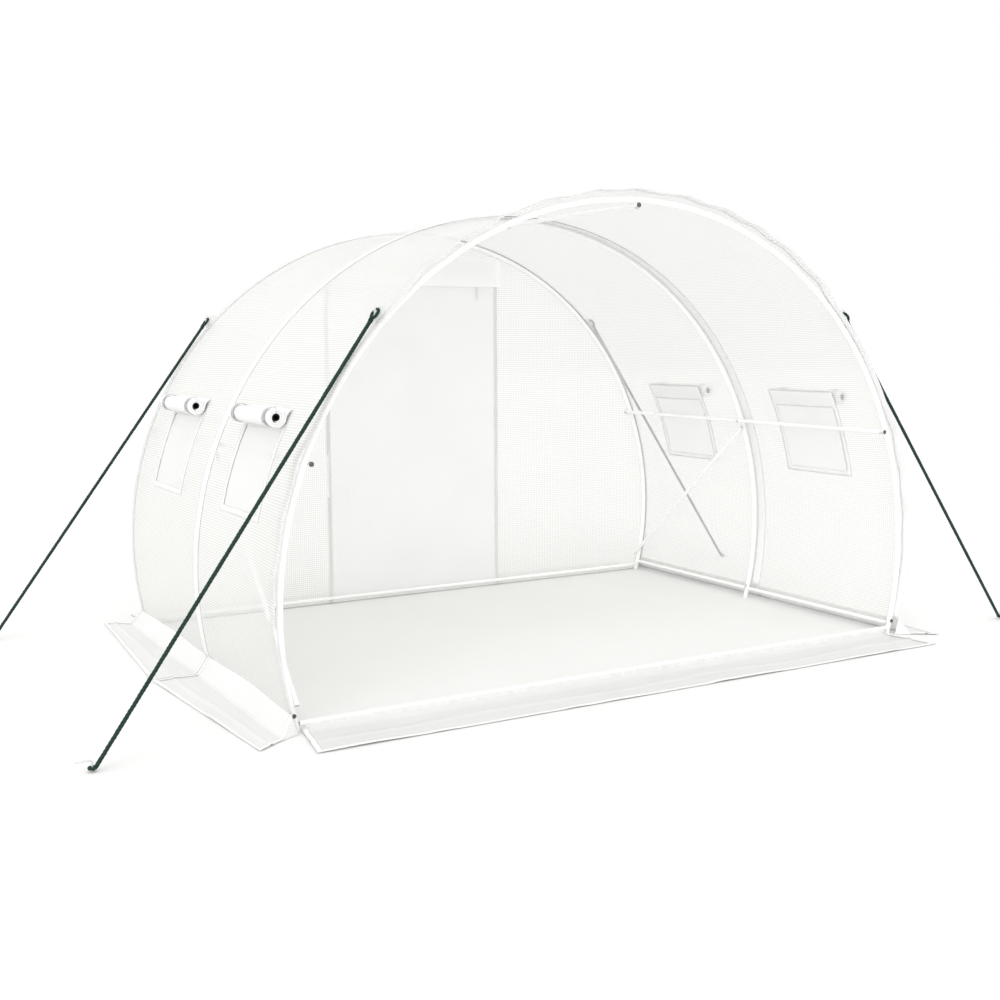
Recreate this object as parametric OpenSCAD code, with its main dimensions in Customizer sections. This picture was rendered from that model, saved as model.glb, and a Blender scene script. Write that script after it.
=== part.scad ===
// Polytunnel greenhouse: three tube hoops under a film cover, open at the front,
// with a mesh door in the back wall, roll-up side windows, ground flaps and guy ropes.
// Origin at the middle of the footprint on the ground, open front towards -Y, +Z up.

/* [Tunnel] */
// Width between the feet of a hoop, tube centre to tube centre
span = 3000; // [2800:10:3200]
// Height of the hoop's centre line at the ridge
rise = 1970; // [1850:10:2100]
// Distance from one hoop to the next
bay = 1020; // [900:10:1200]

/* [Frame tubes] */
// Outside diameter of the hoop tube
hoop_tube = 25; // [20:1:32]
// Outside diameter of purlins, base rails and braces
rail_tube = 19; // [16:1:22]
// Wall of every frame tube
tube_wall = 1.2; // [1:0.1:2]
// Height of the side purlins' centre lines
purlin_h = 975; // [900:5:1040]
// Height of the front and back rails' centre lines
rail_h = 30; // [24:1:40]
// Height of the side rails' centre lines
side_rail_h = 50; // [45:1:80]
// Height of a brace's centre line where it meets the end hoop's leg
brace_foot_h = 110; // [90:5:200]
// Drop of a brace's upper end below the side purlin
brace_drop = 45; // [40:1:80]
// Length of a brace past the hoop it is bolted to
brace_past = 16; // [10:1:25]

/* [Cover] */
// Thickness of the cover film as modelled
film = 2; // [1:0.5:4]
// Reach of the cover in front of the front hoop's centre line
front_hem = 40; // [25:1:60]
// Room between a side rail and the edge where the cover leaves the wall
skirt_room = 15; // [8:1:30]
// Reach of the sloping skirt from that edge out to the ground
skirt_out = 50; // [30:1:80]
// Distance of the joint between the two film widths from the middle hoop
seam_ahead = 50; // [30:5:80]
// Distance of the cover's strip joints from the windows
strip_edge = 110; // [60:5:150]

/* [Windows] */
// Width of a side window
window_w = 400; // [300:10:500]
// Height of a window's lower edge
window_sill = 760; // [700:5:820]
// Height of a window's upper edge
window_head = 1080; // [1050:5:1140]
// Width of the hem around a window
window_hem = 25; // [15:1:35]
// Thickness of the hem
hem_t = 2; // [1:0.5:3]
// Thickness of the insect mesh
mesh_t = 1; // [0.5:0.5:1.5]

/* [Door] */
// Width of the back door
door_w = 1030; // [900:10:1100]
// Drop of the back door's upper edge below the ridge
door_drop = 260; // [250:5:400]
// Width of a zip
zip_w = 24; // [16:1:30]
// Thickness of a zip
zip_t = 3; // [2:0.5:4]

/* [Rolled flaps] */
// Length of a rolled window flap
window_roll_l = 460; // [380:10:560]
// Outer radius of a rolled window flap
window_roll_r = 37; // [30:1:45]
// Radius of the hollow core of a rolled window flap
window_core_r = 14; // [8:1:18]
// Turns of sheet in a rolled window flap
window_turns = 2.5; // [1.5:0.5:3.5]
// Wall of the roll bar in a rolled window flap
bar_wall = 2; // [1.5:0.5:3]
// Inset of a roll bar's ends from the ends of its roll
bar_inset = 5; // [2:1:12]
// Length of a rolled window flap from the roll up to its seam
window_tail = 55; // [40:1:80]
// Height of a window roll's axis above the window's upper edge, along the wall
window_roll_lift = 32; // [26:1:45]
// Outer radius of the rolled door flap
door_roll_r = 62; // [50:1:70]
// Radius of the hollow core of the rolled door flap
door_core_r = 20; // [12:1:26]
// Turns of sheet in the rolled door flap
door_turns = 4.5; // [2.5:0.5:5.5]
// Length of the rolled door flap from the roll up to its seam
door_tail = 95; // [80:1:110]
// Inset of the rolled door flap from each side of the door
door_roll_inset = 10; // [5:5:60]
// Thickness of the rolled sheet with its air
roll_sheet = 4; // [3:0.5:5]
// Width of a tie
tie_w = 20; // [12:1:30]
// Thickness of a tie
tie_t = 1.5; // [1:0.5:2]
// Distance of a tie from the end of its roll
tie_inset = 50; // [30:5:90]

/* [Ground flaps] */
// Width of the flaps that lie on the ground
flap_w = 260; // [200:10:320]
// Width of the side flaps at their outer corners
side_end_w = 180; // [150:5:220]
// Flare of the side flaps at their outer corners
side_flare = 110; // [60:5:130]
// Flare of the end flaps at their outer corners
end_flare = 45; // [20:5:80]
// Inset of the end flaps from the feet
end_inset = 14; // [10:1:40]
// Gap between the two flaps of one side
flap_gap = 8; // [4:1:20]

/* [Guy ropes] */
// Diameter of the rope
rope = 13; // [9:0.5:15]
// Angle of the rope tabs above the arc's centre
tab_a = 44; // [38:1:50]
// Length of a tab along the hoop
tab_l = 90; // [70:5:110]
// Height of the eyelet over the cover
eyelet_h = 30; // [26:1:36]
// Room for the rope in the eyelet, across the bore
eyelet_room = 5; // [4:0.5:6]
// Web of the tab beyond the eyelet
tab_web = 6; // [4:0.5:10]
// Thickness of the tab
tab_t = 3; // [2:0.5:4]
// Radius of the rope's loop in the eyelet
loop_r = 20; // [18:0.5:24]
// Distance of a peg outside the foot of its hoop
peg_out = 740; // [600:10:900]
// Distance of a peg beyond the end hoop
peg_ahead = 60; // [0:5:120]
// Diameter of the peg's rod
peg_d = 7; // [5:0.5:9]
// Height of the straight part of a peg above the ground
peg_h = 30; // [24:1:45]
// Bend radius of the peg's rod
bend_r = 10; // [8:0.5:16]
// Straight part of the peg's arm
peg_arm = 45; // [30:1:60]
// Height of the rope's knot on the peg
knot_h = 13; // [10:1:18]

/* [Hidden] */
$fn = 48;
// Sides of the large arcs about the tunnel's centre
arc_fn = 240;
// Room left between pieces that lie against each other
fit = 0.3;
// Extra length of a cutting body past the face that it cuts
past = 1;

// The hoop is one circular arc that closes in a little at the feet
arc_r = (span * span / 4 + rise * rise) / (2 * rise);
arc_z = rise - arc_r;
cover_in = arc_r + hoop_tube / 2 + fit;
cover_out = cover_in + film;
hem_out = cover_out + fit + hem_t;
purlin_r = arc_r - hoop_tube / 2 - fit - rail_tube / 2;
// The braces cross the hoops aslant, so they keep a little more room
brace_r = purlin_r - fit;

// Angle of a point at height z on a circle of radius r about the arc's centre
function wall_a(z, r) = asin((z - arc_z) / r);
// Half width of that circle at height z
function half_w(z, r) = sqrt(r * r - (z - arc_z) * (z - arc_z));
// Angle that a length takes up along the outside of the cover
function run_a(length) = length / cover_out * 180 / PI;
// Point on a circle of radius r, at angle a, in the plane y
function on_arc(r, a, y) = [r * cos(a), y, arc_z + r * sin(a)];

door_h = rise - door_drop;
door_roll_l = door_w - 2 * door_roll_inset;

lean = wall_a(rail_h, arc_r);
ground_a = wall_a(0, cover_out) - 2;
sill_a = wall_a(window_sill, cover_out);
head_a = wall_a(window_head, cover_out);
low_a = sill_a - run_a(strip_edge);
high_a = head_a + run_a(strip_edge);
// The shoulder strip ends halfway between the window strip and the ridge
roof_a = (high_a + 90) / 2;

// The back wall lies against the back hoop, and the cover ends on it
back_y = bay + hoop_tube / 2 + fit;
cover_front = -bay - front_hem;
skirt_h = side_rail_h + rail_tube / 2 + skirt_room;
rail_front = bay + rail_tube / 2 + fit;
// A rolled flap leaves room for its ties against the hem or the wall
roll_gap = fit + tie_t + fit;
window_roll_c = hem_out + roll_gap + window_roll_r;
window_roll_a = head_a + run_a(window_roll_lift);
door_roll_y = back_y + film + roll_gap + door_roll_r;
door_roll_z = door_h + door_roll_r + fit;
peg_x = span / 2 + peg_out;
peg_y = bay + peg_ahead;
knot_r = peg_d / 2 + fit + rope / 2;
eyelet_d = rope + eyelet_room;

film_c = "#F3F5F4";
frame_c = "#E6E8E9";
mesh_c = "#C9D0CC";
hem_c = "#FAFAFA";
rope_c = "#144B37";
steel_c = "#B4B8BC";
tie_c = "#9DA1A3";
bar_c = "#26282A";

// Pieces are drawn on the right and mirrored to the left
module side(s) {
    if (s < 0) mirror([1, 0, 0]) children();
    else children();
}

// Like pieces of both bays, drawn at the middle of a bay
module each_bay() {
    for (y = [-bay / 2, bay / 2]) translate([0, y, 0]) children();
}

// Straight tube from p to q
module tube(p, q, d) {
    run = q - p;
    length = norm(run);
    translate(p)
        rotate([0, acos(run.z / length), atan2(run.y, run.x)])
            difference() {
                cylinder(h = length, d = d);
                translate([0, 0, -past]) cylinder(h = length + 2 * past, d = d - 2 * tube_wall);
            }
}

// Ring or part of a ring about the arc's centre, from y0 to y1 and from angle a0 to a1
module arch(r0, r1, y0, y1, a0, a1) {
    translate([0, 0, arc_z])
        rotate([90, 0, 0])
            rotate([0, 0, a0])
                rotate_extrude(angle = a1 - a0, $fn = arc_fn)
                    translate([r0, -y1]) square([r1 - r0, y1 - y0]);
}

// Everything below height z
module below(z) {
    wide = 2 * (span + flap_w);
    translate([-wide / 2, -wide / 2, z - wide]) cube(wide);
}

// Two bent tubes that meet at the ridge, with flat feet on the ground
module hoop(y) {
    foot_a = wall_a(0, arc_r) - 2;
    top_a = 90 - run_a(fit / 2);
    color(frame_c) for (s = [-1, 1]) side(s) difference() {
        translate([0, y, arc_z])
            rotate([90, 0, 0])
                rotate([0, 0, foot_a])
                    rotate_extrude(angle = top_a - foot_a, $fn = arc_fn)
                        translate([arc_r, 0]) difference() {
                            circle(d = hoop_tube);
                            circle(d = hoop_tube - 2 * tube_wall);
                        }
        below(0);
    }
}

module purlin(a) {
    end = bay + hoop_tube / 2;
    color(frame_c) tube(on_arc(purlin_r, a, -end), on_arc(purlin_r, a, end), rail_tube);
}

// Rail across the tunnel from leg to leg, cut to the lean of the legs
module cross_rail(y) {
    end = half_w(rail_h - rail_tube / 2, arc_r) - hoop_tube / 2 / cos(lean) - fit;
    color(frame_c) tube([-end, y, rail_h], [end, y, rail_h], rail_tube);
}

// Two lengths of rail along one side, from hoop to hoop
module side_rails(s) {
    x = half_w(side_rail_h, arc_r);
    end = bay / 2 - hoop_tube / 2 - fit;
    color(frame_c) side(s) each_bay() tube([x, -end, side_rail_h], [x, end, side_rail_h], rail_tube);
}

// Straight brace from the middle hoop under the purlin to the foot of an end hoop
module brace(s, y) {
    top = on_arc(brace_r, wall_a(purlin_h - brace_drop, brace_r), 0);
    foot = on_arc(brace_r, wall_a(brace_foot_h, brace_r), y);
    dir = (foot - top) / norm(foot - top);
    color(frame_c) side(s) tube(top - dir * brace_past, foot + dir * brace_past, rail_tube);
}

module cover_strip(a0, a1) {
    arch(cover_in, cover_out, cover_front, back_y, a0, a1);
}

module lower_cover(s) {
    color(film_c) side(s) difference() {
        cover_strip(ground_a, low_a);
        below(skirt_h + fit);
    }
}

module window_cover(s) {
    color(film_c) side(s) difference() {
        cover_strip(low_a, high_a);
        each_bay() window_shape(cover_in - past, cover_out + past, 0);
    }
}

module shoulder_cover(s) {
    color(film_c) side(s) cover_strip(high_a, roof_a);
}

// Window area between two radii, grown by a margin on all sides
module window_shape(r0, r1, margin) {
    half = window_w / 2 + margin;
    arch(r0, r1, -half, half, sill_a - run_a(margin), head_a + run_a(margin));
}

module window_screens(s) {
    mid = cover_in + (film - mesh_t) / 2;
    color(mesh_c) side(s) each_bay() window_shape(mid, mid + mesh_t, -fit);
}

module window_hems(s) {
    color(hem_c) side(s) each_bay() difference() {
        window_shape(cover_out + fit, hem_out, window_hem);
        window_shape(cover_out - past, hem_out + past, 0);
    }
}

// Sheet rolled up from its lower edge: a spiral that leaves the roll on the wall's side
// and runs up to a seam, which is set back to the wall by seat
module rolled_sheet(r, core, turns, tail, seat, length) {
    step = 15;
    pitch = (r - roll_sheet - core) / turns;
    outside = [for (t = [0 : step : 360 * turns]) (r - pitch * t / 360) * [-cos(t), -sin(t)]];
    inside = [for (t = [360 * turns : -step : 0]) (r - roll_sheet - pitch * t / 360) * [-cos(t), -sin(t)]];
    linear_extrude(height = length, center = true)
        polygon(concat([[-r - seat, tail]], outside, inside, [[-r - seat + roll_sheet, tail]]));
}

// Tie around the open side of a roll, from under it to the top beside the seam
module tie(r) {
    rotate([0, 0, 200])
        rotate_extrude(angle = 290)
            translate([r + fit, -tie_w / 2]) square([tie_t, tie_w]);
}

// Place of a window roll: local x points out of the wall and local y up along it
module at_window_roll(s) {
    side(s) each_bay()
        translate([0, 0, arc_z])
            rotate([0, -window_roll_a, 0])
                translate([window_roll_c, 0, 0])
                    rotate([90, 0, 0]) children();
}

module window_rolls(s) {
    curve = window_tail * window_tail / (2 * cover_out);
    seat = window_roll_c - window_roll_r - cover_out - fit + curve;
    color(film_c) at_window_roll(s)
        rolled_sheet(window_roll_r, window_core_r, window_turns, window_tail, seat, window_roll_l);
}

// Tube that a window flap is rolled up around
module roll_bars(s) {
    half = window_roll_l / 2 - bar_inset;
    color(bar_c) at_window_roll(s) difference() {
        cylinder(h = 2 * half, r = window_core_r - fit, center = true);
        cylinder(h = 2 * half + 2 * past, r = window_core_r - fit - bar_wall, center = true);
    }
}

module roll_ties(s) {
    z = window_roll_l / 2 - tie_inset;
    color(tie_c) at_window_roll(s)
        for (end = [-z, z]) translate([0, 0, end]) tie(window_roll_r);
}

// Place of the door roll on the outside of the back wall
module at_door_roll() {
    translate([0, door_roll_y, door_roll_z]) rotate([90, 0, 90]) children();
}

module door_roll() {
    color(film_c) at_door_roll()
        rolled_sheet(door_roll_r, door_core_r, door_turns, door_tail, roll_gap - fit, door_roll_l);
}

module door_roll_ties() {
    z = door_roll_l / 2 - tie_inset;
    color(tie_c) at_door_roll()
        for (end = [-z, z]) translate([0, 0, end]) tie(door_roll_r);
}

// Slice of the arched back wall between two widths and two heights
module back_wall(x0, x1, z0, z1) {
    color(film_c) intersection() {
        translate([0, back_y + film, arc_z]) rotate([90, 0, 0]) cylinder(h = film, r = cover_out, $fn = arc_fn);
        translate([x0, back_y - past, z0]) cube([x1 - x0, film + 2 * past, z1 - z0]);
    }
}

module back_door_screen() {
    color(mesh_c)
        translate([-door_w / 2 + fit, back_y + (film - mesh_t) / 2, film])
            cube([door_w - 2 * fit, mesh_t, door_h - film - fit]);
}

module door_zips() {
    color(tie_c) for (x = [-door_w / 2, door_w / 2])
        translate([x - zip_w / 2, back_y + film, film]) cube([zip_w, zip_t, door_h - film]);
}

// One flap to each film width: it leaves the wall in a slope and then lies on the ground
module side_ground_flaps(s) {
    x0 = half_w(film, cover_in);
    wall_x = half_w(skirt_h, cover_out);
    foot_x = wall_x + skirt_out;
    out_x = x0 + flap_w;
    color(film_c) side(s) for (end = [-1, 1]) {
        y0 = -seam_ahead + end * flap_gap / 2;
        y1 = -end * cover_front;
        intersection() {
            translate([0, span, 0]) rotate([90, 0, 0]) linear_extrude(height = 2 * span)
                polygon([
                    [wall_x - film, skirt_h], [wall_x, skirt_h], [foot_x, film],
                    [out_x + past, film], [out_x + past, 0], [foot_x - 2 * film, 0]
                ]);
            translate([0, 0, -past]) linear_extrude(height = skirt_h + 2 * past)
                polygon([
                    [wall_x - film - past, y0], [wall_x - film - past, y1],
                    [x0 + side_end_w, y1 + end * side_flare], [out_x, y0]
                ]);
        }
    }
}

// Flap that runs out from y0 on the ground, towards dir along Y
module end_flap(y0, dir) {
    x0 = span / 2 - end_inset;
    linear_extrude(height = film)
        polygon([
            [-x0, dir * y0], [x0, dir * y0],
            [x0 + end_flare, dir * (y0 + flap_w)], [-x0 - end_flare, dir * (y0 + flap_w)]
        ]);
}

// Upturned edge of the front flap, sewn to the front of the base rail between the legs
module front_flap_edge() {
    x = half_w(0, arc_r) - hoop_tube / 2 / cos(lean) - end_inset;
    color(film_c) translate([-x, -rail_front - film, 0]) cube([2 * x, film, rail_h]);
}

module front_ground_flap() {
    color(film_c) end_flap(rail_front + film + fit, -1);
}

module back_ground_flap() {
    color(film_c) end_flap(back_y, 1);
}

// Place of the four anchored corners: drawn at the right front corner's place
module each_corner() {
    for (sx = [-1, 1], sy = [-1, 1])
        mirror([sx < 0 ? 1 : 0, 0, 0]) mirror([0, sy < 0 ? 1 : 0, 0]) children();
}

eyelet_p = on_arc(cover_out + eyelet_h, tab_a, bay);
tab_tip = eyelet_h + eyelet_d / 2 + tab_web;

// Webbing triangle that stands on the cover over the end hoop
module rope_tabs() {
    color(tie_c) each_corner()
        translate([0, bay + tab_t / 2, arc_z])
            rotate([90, 0, 0])
                linear_extrude(height = tab_t) rotate(tab_a) difference() {
                    polygon([
                        [cover_out - past, -tab_l / 2], [cover_out + fit + film, -tab_l / 2],
                        [cover_out + tab_tip, -tab_web - eyelet_d / 4], [cover_out + tab_tip, tab_web + eyelet_d / 4],
                        [cover_out + fit + film, tab_l / 2], [cover_out - past, tab_l / 2]
                    ]);
                    circle(r = cover_out + fit, $fn = arc_fn);
                    translate([cover_out + eyelet_h, 0]) circle(d = eyelet_d);
                }
}

module ring(r, d) {
    rotate_extrude() translate([r, 0]) circle(d = d);
}

// Taut rope with a loop through the eyelet and a loop around the peg
module guy_ropes() {
    start = [peg_x - knot_r, peg_y, knot_h];
    run = eyelet_p - start;
    // The taut loop bears on the eyelet's edge
    length = norm(run) - eyelet_room / 2 + fit;
    color(rope_c) each_corner() union() {
        translate(start)
            rotate([0, acos(run.z / norm(run)), atan2(run.y, run.x)]) {
                cylinder(h = length - 2 * loop_r, d = rope);
                translate([0, 0, length - loop_r]) rotate([0, 90, 0]) ring(loop_r, rope);
            }
        translate([peg_x, peg_y, knot_h]) ring(knot_r, rope);
    }
}

// Bent rod: straight out of the ground and over into a level arm
module ground_pegs() {
    color(steel_c) each_corner() translate([peg_x, peg_y, 0]) {
        cylinder(h = peg_h, d = peg_d);
        translate([bend_r, 0, peg_h])
            rotate([90, 0, 0]) rotate([0, 0, 90])
                rotate_extrude(angle = 90) translate([bend_r, 0]) circle(d = peg_d);
        translate([bend_r, 0, peg_h + bend_r]) rotate([0, 90, 0]) cylinder(h = peg_arm, d = peg_d);
    }
}

hoop(-bay);  // front_hoop
hoop(0);  // middle_hoop
hoop(bay);  // back_hoop
purlin(90);  // ridge_purlin
side(-1) purlin(wall_a(purlin_h, purlin_r));  // left_purlin
side(1) purlin(wall_a(purlin_h, purlin_r));  // right_purlin
cross_rail(-bay);  // front_base_rail
cross_rail(bay);  // back_base_rail
side_rails(-1);  // left_base_rails
side_rails(1);  // right_base_rails
brace(-1, -bay);  // left_brace
brace(1, bay);  // right_brace
lower_cover(-1);  // left_lower_cover
lower_cover(1);  // right_lower_cover
window_cover(-1);  // left_window_cover
window_cover(1);  // right_window_cover
shoulder_cover(-1);  // left_shoulder_cover
shoulder_cover(1);  // right_shoulder_cover
color(film_c) cover_strip(roof_a, 180 - roof_a);  // roof_cover
back_wall(-cover_out, -door_w / 2, film, rise + span);  // back_wall_left
back_wall(door_w / 2, cover_out, film, rise + span);  // back_wall_right
back_wall(-door_w / 2, door_w / 2, door_h, rise + span);  // back_wall_top
back_door_screen();
door_zips();
door_roll();
door_roll_ties();
window_screens(-1);  // left_window_screens
window_screens(1);  // right_window_screens
window_hems(-1);  // left_window_hems
window_hems(1);  // right_window_hems
window_rolls(-1);  // left_window_rolls
window_rolls(1);  // right_window_rolls
roll_bars(-1);  // left_roll_bars
roll_bars(1);  // right_roll_bars
roll_ties(-1);  // left_roll_ties
roll_ties(1);  // right_roll_ties
front_flap_edge();
front_ground_flap();
back_ground_flap();
side_ground_flaps(-1);  // left_ground_flaps
side_ground_flaps(1);  // right_ground_flaps
rope_tabs();
guy_ropes();
ground_pegs();
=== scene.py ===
# %% [markdown]
# # Polytunnel greenhouse
# A garden polytunnel is a row of bent tubes with one sheet of woven film pulled over them. The tubes arrive
# finished from the CAD model, so this lesson makes what CAD can't show well: the slack film, its windows,
# the rolled flaps, the ground flaps, the ropes and all the finishes. Sizes are read from the CAD boxes where
# they can be, so the film follows the frame if the frame changes.

# %% Load the frame
import math

import bpy
from mathutils import Matrix, Vector, noise


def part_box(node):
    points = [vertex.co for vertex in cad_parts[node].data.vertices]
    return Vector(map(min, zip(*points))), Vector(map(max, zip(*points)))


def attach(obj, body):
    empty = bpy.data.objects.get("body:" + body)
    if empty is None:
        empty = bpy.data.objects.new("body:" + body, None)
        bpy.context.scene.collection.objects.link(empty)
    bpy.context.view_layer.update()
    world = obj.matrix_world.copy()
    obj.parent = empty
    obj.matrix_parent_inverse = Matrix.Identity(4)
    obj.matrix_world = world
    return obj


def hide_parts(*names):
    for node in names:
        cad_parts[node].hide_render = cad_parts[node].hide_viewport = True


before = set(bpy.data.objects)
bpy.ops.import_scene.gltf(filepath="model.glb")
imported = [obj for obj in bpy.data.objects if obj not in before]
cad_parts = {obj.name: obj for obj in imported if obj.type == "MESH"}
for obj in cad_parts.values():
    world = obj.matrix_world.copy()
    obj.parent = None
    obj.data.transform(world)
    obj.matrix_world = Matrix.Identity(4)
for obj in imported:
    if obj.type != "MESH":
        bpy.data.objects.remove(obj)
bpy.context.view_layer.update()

# %% [markdown]
# ## Camera
# The camera stands outside the open front, left of the middle, at about standing eye height. Its place and
# turn come from fitting a pinhole camera to the three hoops and the base rails. We build the rotation from the
# three directions that it looks along, because that is easier to check than Euler angles.

# %% Camera
scene = bpy.context.scene
scene.view_settings.view_transform = "Standard"
yaw, pitch, roll = 0.5231, -0.1256, -0.0048
ahead = Vector((math.sin(yaw) * math.cos(pitch), math.cos(yaw) * math.cos(pitch), math.sin(pitch)))
right = Vector((math.cos(yaw), -math.sin(yaw), 0))
above = right.cross(ahead)
right, above = (math.cos(roll) * right + math.sin(roll) * above,
                math.cos(roll) * above - math.sin(roll) * right)
camera = bpy.data.objects.new("camera", bpy.data.cameras.new("camera"))
camera.data.lens, camera.data.sensor_width = 45.503, 36
camera_place = Matrix.Translation((-3.0853, -5.2523, 1.4095))
camera.matrix_world = camera_place @ Matrix((right, above, -ahead)).transposed().to_4x4()
scene.collection.objects.link(camera)
scene.camera = camera
print("camera at", tuple(round(c, 2) for c in camera.location))

# %% [markdown]
# ## Sizes from the frame
# Every hoop is one circular arc, so two numbers describe the whole tunnel: the arc's radius and the height of
# its centre. A place on the film is then s, the distance from the ridge along the arch, and y, the distance
# along the tunnel. Working in s and y keeps the film flat in our heads while it is curved in space.

# %% Sizes from the frame
hoop_low, hoop_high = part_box("middle_hoop")
hoop_tube = hoop_high[1] - hoop_low[1]
arc_r = (hoop_high[0] - hoop_low[0] - hoop_tube) / 2
arc_z = hoop_high[2] - hoop_tube / 2 - arc_r
bay = sum(corner[1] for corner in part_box("back_hoop")) / 2
film_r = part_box("roof_cover")[1][2] - arc_z
front_y, back_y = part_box("roof_cover")[0][1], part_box("back_wall_top")[0][1]
film_half = 0.001  # half of the film's thickness in the CAD model
grid_step = 0.022  # cells of the film's grid
both_sides = ((-1, "left"), (1, "right"))
both_bays = ((-bay / 2, "front"), (bay / 2, "back"))
both_ends = ((-1, "a"), (1, "b"))


def arch(radius, s, y):
    """Point on a circle about the arch's centre, s metres from the ridge and positive to the right."""
    angle = math.pi / 2 - s / film_r
    return Vector((radius * math.cos(angle), y, arc_z + radius * math.sin(angle)))


def down_to(z):
    """Distance along the film from the ridge down to height z."""
    return film_r * (math.pi / 2 - math.asin((z - arc_z) / film_r))


skirt_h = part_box("left_ground_flaps")[1][2]
s_foot = down_to(skirt_h)
print("arc radius", round(arc_r, 4), "centre height", round(arc_z, 4), "bay", round(bay, 3),
      "ridge to the skirt", round(s_foot, 3))

# %% [markdown]
# ## Mesh helpers
# Nearly every soft piece here is a grid of points pushed into shape. One helper makes such a grid and gives it a
# UV map in metres, so that the weave in the material has the same size on every piece. The others sweep a round
# cord along a path and collect many small things into one mesh.

# %% Mesh helpers
def stations(marks, step):
    """Places from the first mark to the last, with every mark kept and gaps of about step."""
    places = [marks[0]]
    for start, end in zip(marks, marks[1:]):
        n = max(1, round((end - start) / step))
        places += [start + (end - start) * k / n for k in range(1, n + 1)]
    return places


def new_piece(name, points, faces, finish, uvs=None, smooth=True):
    """Mesh object that rides on the tunnel and takes the finish it is given."""
    mesh = bpy.data.meshes.new(name)
    mesh.from_pydata([tuple(p) for p in points], [], faces)
    if uvs:
        layer = mesh.uv_layers.new(name="cloth")
        for loop in mesh.loops:
            layer.data[loop.index].uv = uvs[loop.vertex_index]
    mesh.polygons.foreach_set("use_smooth", [smooth] * len(mesh.polygons))
    mesh.materials.append(finish)
    piece = bpy.data.objects.new(name, mesh)
    scene.collection.objects.link(piece)
    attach(piece, "root") or piece
    return piece


def cloth(name, us, vs, place, finish, slot, hole=None, flat=None):
    """Grid of cloth. place(u, v) gives a point in space, flat(u, v) its place on the cut cloth in metres."""
    points, uvs, faces, index = [], [], [], {}

    def point(i, j):
        if (i, j) not in index:
            index[i, j] = len(points)
            points.append(place(us[i], vs[j]))
            uvs.append(flat(us[i], vs[j]) if flat else (us[i], vs[j]))
        return index[i, j]

    for i in range(len(us) - 1):
        for j in range(len(vs) - 1):
            if hole and hole((us[i] + us[i + 1]) / 2, (vs[j] + vs[j + 1]) / 2):
                continue
            faces.append((point(i, j), point(i + 1, j), point(i + 1, j + 1), point(i, j + 1)))
    return new_piece(name, points, faces, finish, uvs)


def thicken(piece, thickness):
    """Turns a sheet into a tape with real thickness, half of it on each side."""
    solid = piece.modifiers.new("thickness", "SOLIDIFY")
    solid.thickness, solid.offset = thickness, 0.0
    return piece


class Heap:
    """Collects points and faces of many small things into one mesh."""

    def __init__(self):
        self.points, self.faces = [], []

    def add(self, points, faces):
        start = len(self.points)
        self.points += [Vector(p) for p in points]
        self.faces += [tuple(start + k for k in face) for face in faces]

    def piece(self, name, finish, slot, smooth=True):
        return new_piece(name, self.points, self.faces, finish, smooth=smooth)


def cord_along(path, radius, sides):
    """Points and faces of a round cord along a path, closed at both ends."""
    points, faces = [], []
    side = None
    for k, p in enumerate(path):
        run = (path[min(k + 1, len(path) - 1)] - path[max(k - 1, 0)]).normalized()
        side = (side - run * side.dot(run)).normalized() if side else run.orthogonal().normalized()
        other = run.cross(side)
        for i in range(sides):
            angle = 2 * math.pi * i / sides
            points.append(p + radius * (math.cos(angle) * side + math.sin(angle) * other))
    for k in range(len(path) - 1):
        for i in range(sides):
            a, b = k * sides + i, k * sides + (i + 1) % sides
            faces.append((a, b, b + sides, a + sides))
    faces += [tuple(reversed(range(sides))), tuple(range(len(points) - sides, len(points)))]
    return points, faces


def ripple(x, y, seed):
    """Smooth noise between about -1 and 1, the same in every run."""
    return noise.noise(Vector((x, y, seed)))


def smoothstep(low, high, x):
    """0 at low, 1 at high, with a soft start and end."""
    t = min(1.0, max(0.0, (x - low) / (high - low)))
    return t * t * (3 - 2 * t)


print("helpers ready")

# %% [markdown]
# ## Woven film
# The cover is clear plastic film with white threads laid in it as a grid, so shapes behind it show through, but
# paler. A single transparent shader would look like glass. We mix three: a white surface that reflects, a
# translucent one for light that comes through scattered, and a clear one, a little tinted, for what is seen straight
# through. The clear share is smaller on the threads, and that makes the grid show.

# %% Woven film
def shader_nodes(name):
    """New material, with its node tree and its main shader."""
    made = bpy.data.materials.new(name)
    made.use_nodes = True
    return made, made.node_tree, made.node_tree.nodes["Principled BSDF"]


def node(tree, kind, links=None, **settings):
    """Adds a shader node. settings go to its properties, links and numbers to its inputs."""
    made = tree.nodes.new("ShaderNode" + kind)
    for key, value in settings.items():
        setattr(made, key, value)
    for key, value in (links or {}).items():
        if isinstance(value, bpy.types.NodeSocket):
            tree.links.new(value, made.inputs[key])
        else:
            made.inputs[key].default_value = value
    return made


def ramp(tree, fac, *stops):
    """Colour ramp through stops of (position, (r, g, b))."""
    made = node(tree, "ValToRGB", {"Fac": fac})
    while len(made.color_ramp.elements) < len(stops):
        made.color_ramp.elements.new(0.5)
    for element, (position, colour) in zip(made.color_ramp.elements, stops):
        element.position, element.color = position, (*colour, 1)
    return made.outputs["Color"]


def threads(tree, spacing, width):
    """1 on the threads of a square grid laid out in the cloth's own metres, 0 between them."""
    flat = node(tree, "SeparateXYZ", {0: node(tree, "UVMap", uv_map="cloth").outputs["UV"]})
    lines = []
    for axis in ("X", "Y"):
        count = node(tree, "Math", {0: flat.outputs[axis], 1: 1 / spacing}, operation="MULTIPLY")
        part = node(tree, "Math", {0: count.outputs[0]}, operation="FRACT")
        lines.append(node(tree, "Math", {0: part.outputs[0], 1: width / spacing}, operation="LESS_THAN").outputs[0])
    return node(tree, "Math", {0: lines[0], 1: lines[1]}, operation="MAXIMUM").outputs[0]


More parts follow.
